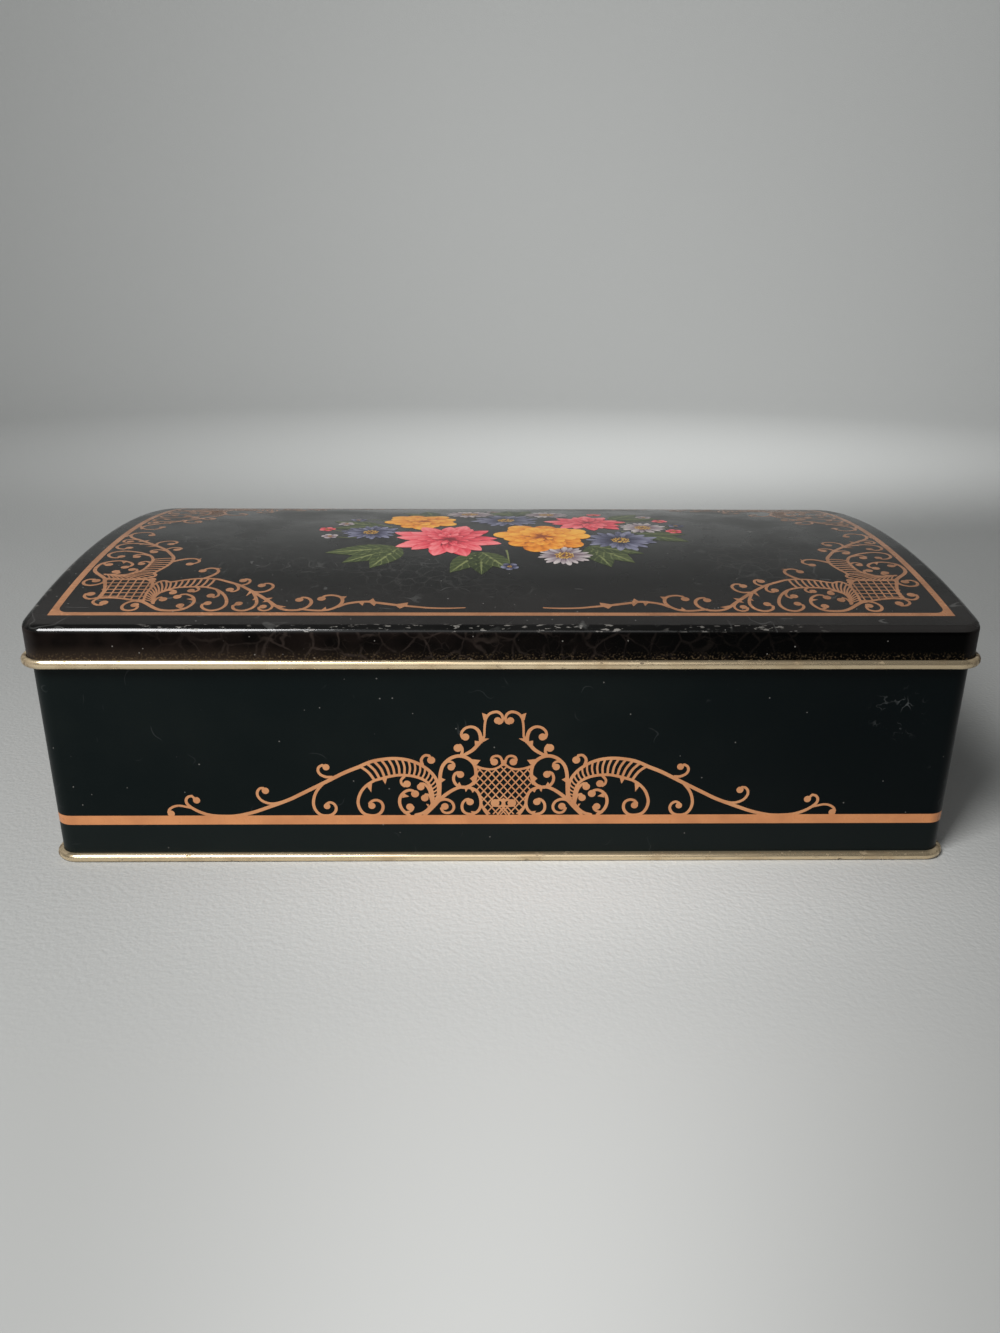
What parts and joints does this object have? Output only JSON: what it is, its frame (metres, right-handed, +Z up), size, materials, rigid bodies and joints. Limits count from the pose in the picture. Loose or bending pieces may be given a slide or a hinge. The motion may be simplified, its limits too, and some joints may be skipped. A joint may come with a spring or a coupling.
{
  "type": "tin container",
  "caption": "Rectangular tinplate box with a vaulted lift-off lid, rolled gold rims and printed copper scrollwork on black; holds dry food or small things.",
  "frame": {"origin": "on the floor under the middle of the tin", "axes": "+X along the long side to the right, -Y towards the front face in the picture, +Z up"},
  "size_m": [0.2452, 0.1432, 0.0745],
  "materials": {
    "black_lacquer": "black litho lacquer on tinplate, satin gloss, with fine scratches and worn edges",
    "gold_lacquer": "clear gold lacquer on bright tinplate, rolled edges and inside",
    "copper_ink": "printed copper-coloured ink, satin"
  },
  "bodies": {
    "tin_body": {"body_wall": "black_lacquer", "base_plate": "gold_lacquer"},
    "lid": {"lid": "black_lacquer"}
  },
  "joints": [
    {"name": "lid_lift", "type": "slide", "parent": "tin_body", "child": "lid", "axis": [0, 0, 1], "range_m": [0, 0.09]}
  ]
}
